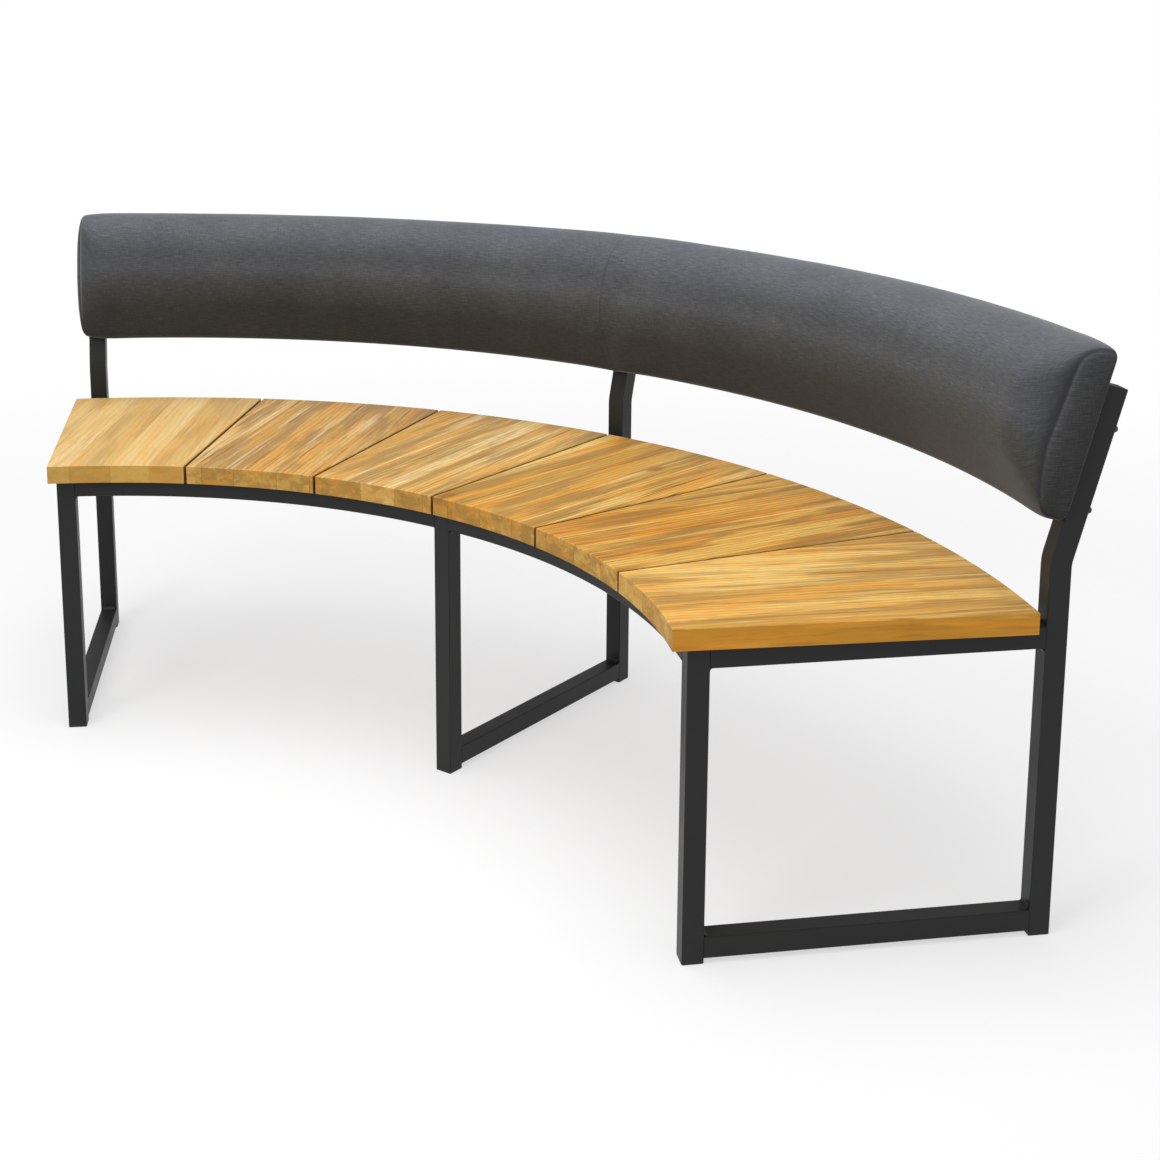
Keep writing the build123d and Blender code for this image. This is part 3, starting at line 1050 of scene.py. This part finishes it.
class BENCH_PG_pads(bpy.types.PropertyGroup):
    ring_spacing: FloatProperty(
        name="Ring spacing",
        description="Length of the skin's cells",
        default=0.0075,
        unit="LENGTH",
    )
    rounding: FloatProperty(
        name="End rounding",
        description="Length over which a pad thins to its end",
        default=0.07,
        unit="LENGTH",
    )
    seam_pull: FloatProperty(
        name="Seam pull",
        description="How far the middle seam draws the pads in",
        default=0.006,
        subtype="FACTOR",
    )
    seam_width: FloatProperty(
        name="Seam width",
        description="How far that pull reaches",
        default=0.02,
        unit="LENGTH",
    )
    seam_depth: FloatProperty(
        name="Seam depth",
        description="How far a seam sinks in",
        default=0.0009,
        unit="LENGTH",
    )
    middle_seam: FloatProperty(
        name="Middle seam",
        description="How much the seam between the pads shows",
        default=0.2,
        subtype="FACTOR",
    )
    end_seam: FloatProperty(
        name="End seam",
        description="How much the seam round an end panel shows",
        default=0.7,
        subtype="FACTOR",
    )
    end_bulge: FloatProperty(
        name="End bulge",
        description="How far an end panel swells",
        default=0.009,
        unit="LENGTH",
    )
    evening: IntProperty(
        name="Evening",
        description="Times that the cover's moves are evened out",
        default=12,
    )
    # painted shade in the fold of a seam
    seam: FloatVectorProperty(
        name="Seam",
        description="Colour in the fold of a seam",
        default=linear("#26262A"),
        subtype="COLOR",
    )
    pressure: FloatProperty(
        name="Pressure",
        description="Push of the foam on its cover",
        default=4.0,
    )
    frames: IntProperty(
        name="Frames",
        description="Steps of the cloth simulation",
        default=20,
    )
    swell: FloatProperty(
        name="Swell",
        description="Farthest that the cover may move",
        default=0.003,
        unit="LENGTH",
    )
    fill: FloatProperty(
        name="Fill",
        description="Tightness of the pads",
        default=0.85,
        subtype="FACTOR",
    )


class BENCH_PG_stage(bpy.types.PropertyGroup):
    camera_place: FloatVectorProperty(
        name="Camera",
        description="Camera position",
        default=(1.77063, -2.23402, 1.28266),
        subtype="TRANSLATION",
    )
    yaw: FloatProperty(
        name="Yaw",
        description="Camera turn from +Y towards +X",
        default=math.radians(-37.05),
        subtype="ANGLE",
    )
    pitch: FloatProperty(
        name="Pitch",
        description="Camera tilt above the horizon",
        default=math.radians(-11.41),
        subtype="ANGLE",
    )
    roll: FloatProperty(
        name="Roll",
        description="Camera roll",
        default=math.radians(0.14),
        subtype="ANGLE",
    )
    lens: FloatProperty(
        name="Lens",
        description="Focal length in millimetres",
        default=56.19,
        unit="CAMERA",
    )
    shift: FloatVectorProperty(
        name="Shift",
        description="Lens shift as a share of the frame",
        size=2,
        default=(0.0345, -0.2155),
    )
    floor: FloatVectorProperty(
        name="Floor",
        description="Colour of the studio floor",
        default=linear("#F6F6F6"),
        subtype="COLOR",
    )
    floor_bounce: FloatVectorProperty(
        name="Floor bounce",
        description="Shade of the floor that lights the bench from below",
        default=linear("#929292"),
        subtype="COLOR",
    )
    floor_glow: FloatProperty(
        name="Floor glow",
        description="Share of plain white in the floor under the bench",
        default=0.6,
        subtype="FACTOR",
    )
    floor_reach: FloatProperty(
        name="Floor reach",
        description="Distance at which the floor is plain white",
        default=3.2,
        unit="LENGTH",
    )
    ambient: FloatProperty(
        name="Ambient",
        description="Light from all round",
        default=0.5,
    )
    overhead_power: FloatProperty(
        name="Overhead power",
        description="Power of the large soft lamp above",
        default=72.0,
        unit="POWER",
    )
    key_power: FloatProperty(
        name="Key power",
        description="Power of the lamp in front",
        default=42.0,
        unit="POWER",
    )


class BENCH_OT_seat(bpy.types.Operator):
    """Gives each seat panel its own boards of reclaimed teak"""

    bl_idname = "bench.seat"
    bl_label = "Teak seat panels"

    def execute(self, context):
        for number in range(len(PANELS)):
            dress([f"seat_panel_{number + 1}"], teak(number, context.scene.bench_teak))
        return {"FINISHED"}


class BENCH_OT_frames(bpy.types.Operator):
    """Coats the legs, posts and rails and finishes their caps and fasteners"""

    bl_idname = "bench.frames"
    bl_label = "Coated frames"

    def execute(self, context):
        names = list(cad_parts)
        tubes = [n for n in names if n.split("_")[1] in ("leg", "post", "rail")]
        caps = [n for n in names if "foot" in n or n.startswith("post_cap")]
        dress(tubes, powder_coat(context.scene.bench_coat))
        dress(caps, black_polyethylene())
        dress(["back_bolts", "board_nuts", "seat_screws"], blackened_steel())
        dress(["backrest_board"], birch_plywood())
        return {"FINISHED"}


class BENCH_OT_bolts(bpy.types.Operator):
    """Turns the domed bolts, on their washers, that hold the back to the posts"""

    bl_idname = "bench.bolts"
    bl_label = "Domed bolts"

    def execute(self, context):
        bolts = bmesh.new()
        for angle in (-FRAME_SPREAD, 0.0, FRAME_SPREAD):
            for up in BOLT_HEIGHTS:
                turned_bolt(bolts, math.radians(angle), up * MM)
        piece = new_piece("domed_bolts", bolts)
        piece.data.set_sharp_from_angle(angle=BOLT_SHARP)
        piece.data.materials.append(bpy.data.materials["blackened_stainless_steel"])
        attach(piece, "root")
        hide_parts("back_bolts")
        return {"FINISHED"}


class BENCH_OT_pads(bpy.types.Operator):
    """Makes the two stuffed back pads that meet in a seam at the middle post"""

    bl_idname = "bench.pads"
    bl_label = "Padded back"

    def execute(self, context):
        look = context.scene.bench_pads
        cloth = melange_cloth(look)
        for name, side in (("left", -1), ("right", 1)):
            pad = build_pad(f"padded_back_{name}", side, look)
            stuff_pad(pad, look)
            sew_pad(pad, look)
            pad.data.materials.append(cloth)
            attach(pad, "root")
            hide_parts(f"back_pad_{name}")
        return {"FINISHED"}


class BENCH_OT_stage(bpy.types.Operator):
    """Sets up the pale floor, the soft light and the camera"""

    bl_idname = "bench.stage"
    bl_label = "Studio"

    def execute(self, context):
        look = context.scene.bench_stage
        self.floor(look)
        self.light(context.scene, look)
        self.camera(context.scene, look)
        context.scene.view_settings.view_transform = "Standard"
        return {"FINISHED"}

    # Painted board: matt and pale, so that the bench's soft shadow shows on it
    def floor(self, look):
        """A floor that is white but for the shadow of the bench."""
        shape = bmesh.new()
        bmesh.ops.create_grid(shape, x_segments=1, y_segments=1, size=FLOOR_HALF)
        floor = new_piece("studio_floor", shape, smooth=False)
        material, tree = new_material("painted_studio_floor")
        coords = add(tree, "ShaderNodeTexCoord")
        away = add(
            tree,
            "ShaderNodeVectorMath",
            {0: coords.outputs["Object"]},
            operation="LENGTH",
        )
        rays = add(tree, "ShaderNodeLightPath")
        mirrored = add(
            tree,
            "ShaderNodeMath",
            {0: rays.outputs["Is Glossy Ray"], 1: rays.outputs["Is Transmission Ray"]},
            operation="MAXIMUM",
        )
        seen = add(
            tree,
            "ShaderNodeMath",
            {0: rays.outputs["Is Camera Ray"], 1: mirrored.outputs[0]},
            operation="MAXIMUM",
        )
        # the floor runs out into plain white away from the bench, and keeps its shadow near it
        white_share = add(
            tree,
            "ShaderNodeMapRange",
            {
                "Value": away.outputs["Value"],
                "From Min": FLOOR_NEAR,
                "From Max": look.floor_reach,
                "To Min": look.floor_glow,
                "To Max": 1.0,
            },
            interpolation_type="SMOOTHSTEP",
        )
        share = add(
            tree,
            "ShaderNodeMath",
            {0: seen.outputs[0], 1: white_share.outputs[0]},
            operation="MULTIPLY",
        )
        paint_shade = add(
            tree,
            "ShaderNodeMix",
            {
                "Factor": seen.outputs[0],
                6: (*look.floor_bounce, 1.0),
                7: (*look.floor, 1.0),
            },
            data_type="RGBA",
        )
        paint = add(tree, "ShaderNodeBsdfDiffuse", {"Color": paint_shade.outputs[2]})
        white = add(tree, "ShaderNodeEmission", {"Strength": 1.0})
        mixed = add(
            tree,
            "ShaderNodeMixShader",
            {0: share.outputs[0], 1: paint.outputs[0], 2: white.outputs[0]},
        )
        add(tree, "ShaderNodeOutputMaterial", {"Surface": mixed.outputs[0]})
        floor.data.materials.append(material)

    def light(self, scene, look):
        """Even light from all round and two round lamps."""
        world = bpy.data.worlds.new("studio")
        world.use_nodes = True
        tree = world.node_tree
        tree.nodes.clear()
        rays = add(tree, "ShaderNodeLightPath")
        seen = add(
            tree,
            "ShaderNodeMath",
            {0: rays.outputs["Is Camera Ray"], 1: rays.outputs["Is Transmission Ray"]},
            operation="MAXIMUM",
        )
        strength = add(
            tree,
            "ShaderNodeMapRange",
            {"Value": seen.outputs[0], "To Min": look.ambient, "To Max": 1.0},
        )
        glow = add(
            tree,
            "ShaderNodeBackground",
            {"Color": (1, 1, 1, 1), "Strength": strength.outputs[0]},
        )
        add(tree, "ShaderNodeOutputWorld", {"Surface": glow.outputs[0]})
        scene.world = world
        for name, (place, size) in LAMPS.items():
            lamp = bpy.data.lights.new(name, "AREA")
            lamp.shape = "DISK"
            lamp.size = size
            lamp.energy = getattr(look, f"{name}_power")
            light = new_object(name, lamp)
            light.location = place
            aim = LAMP_AIM - light.location
            light.rotation_euler = aim.to_track_quat("-Z", "Y").to_euler()

    def camera(self, scene, look):
        """The camera of the photo."""
        ahead = Vector(
            (
                math.sin(look.yaw) * math.cos(look.pitch),
                math.cos(look.yaw) * math.cos(look.pitch),
                math.sin(look.pitch),
            )
        )
        right = ahead.cross(Vector((0, 0, 1))).normalized()
        up = right.cross(ahead)
        tilted = Matrix((right, up, -ahead)).transposed() @ Matrix.Rotation(look.roll, 3, "Z")
        lens = bpy.data.cameras.new("camera")
        lens.lens = look.lens
        lens.sensor_width = SENSOR_WIDTH
        lens.shift_x, lens.shift_y = look.shift
        camera = new_object("camera", lens)
        camera.matrix_world = Matrix.Translation(look.camera_place) @ tilted.to_4x4()
        scene.camera = camera


class BENCH_PT_sidebar(bpy.types.Panel):
    """Lists the steps that dress the bench"""

    bl_idname = "BENCH_PT_sidebar"
    bl_label = "Curved garden bench"
    bl_space_type = "VIEW_3D"
    bl_region_type = "UI"
    bl_category = "Bench"

    def draw(self, context):
        for operator in OPERATORS:
            self.layout.operator(operator.bl_idname)


GROUPS = {
    "bench_teak": BENCH_PG_teak,
    "bench_coat": BENCH_PG_coat,
    "bench_pads": BENCH_PG_pads,
    "bench_stage": BENCH_PG_stage,
}
OPERATORS = (BENCH_OT_seat, BENCH_OT_frames, BENCH_OT_bolts, BENCH_OT_pads, BENCH_OT_stage)


def register():
    for name, group in GROUPS.items():
        bpy.utils.register_class(group)
        setattr(bpy.types.Scene, name, PointerProperty(type=group))
    for kind in (*OPERATORS, BENCH_PT_sidebar):
        bpy.utils.register_class(kind)


def unregister():
    for kind in (BENCH_PT_sidebar, *reversed(OPERATORS)):
        bpy.utils.unregister_class(kind)
    for name, group in reversed(list(GROUPS.items())):
        delattr(bpy.types.Scene, name)
        bpy.utils.unregister_class(group)


def main():
    register()
    bpy.ops.bench.seat()
    bpy.ops.bench.frames()
    bpy.ops.bench.bolts()
    bpy.ops.bench.pads()
    bpy.ops.bench.stage()


if __name__ == "__main__":
    main()
